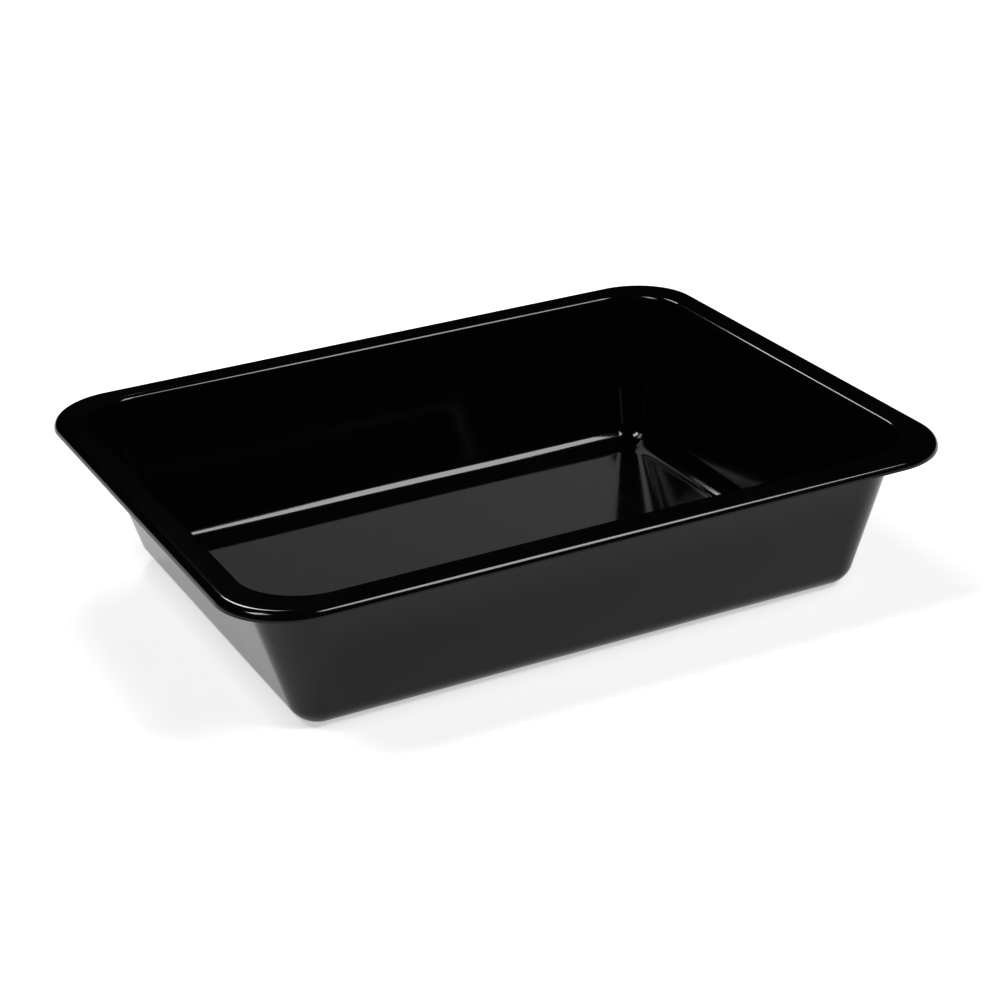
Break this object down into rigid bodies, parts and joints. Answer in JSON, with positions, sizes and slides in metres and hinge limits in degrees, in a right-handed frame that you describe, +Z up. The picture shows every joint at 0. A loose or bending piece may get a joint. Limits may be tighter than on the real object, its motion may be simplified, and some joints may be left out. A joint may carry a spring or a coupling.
{
  "type": "plastic meal tray",
  "caption": "Empty rectangular food tray of thin black gloss plastic: sloping walls, rounded corners, and a flat flange with a turned-down lip round the mouth.",
  "frame": {"origin": "on the underside of the base, below the middle of the tray", "axes": "+X along the long sides, +Y along the short sides, +Z up out of the mouth"},
  "size_m": [0.227, 0.181, 0.0488],
  "materials": {
    "black_gloss_plastic": "smooth black food-grade plastic with a high gloss"
  },
  "bodies": {
    "root": {"tray": "black_gloss_plastic"}
  },
  "joints": []
}
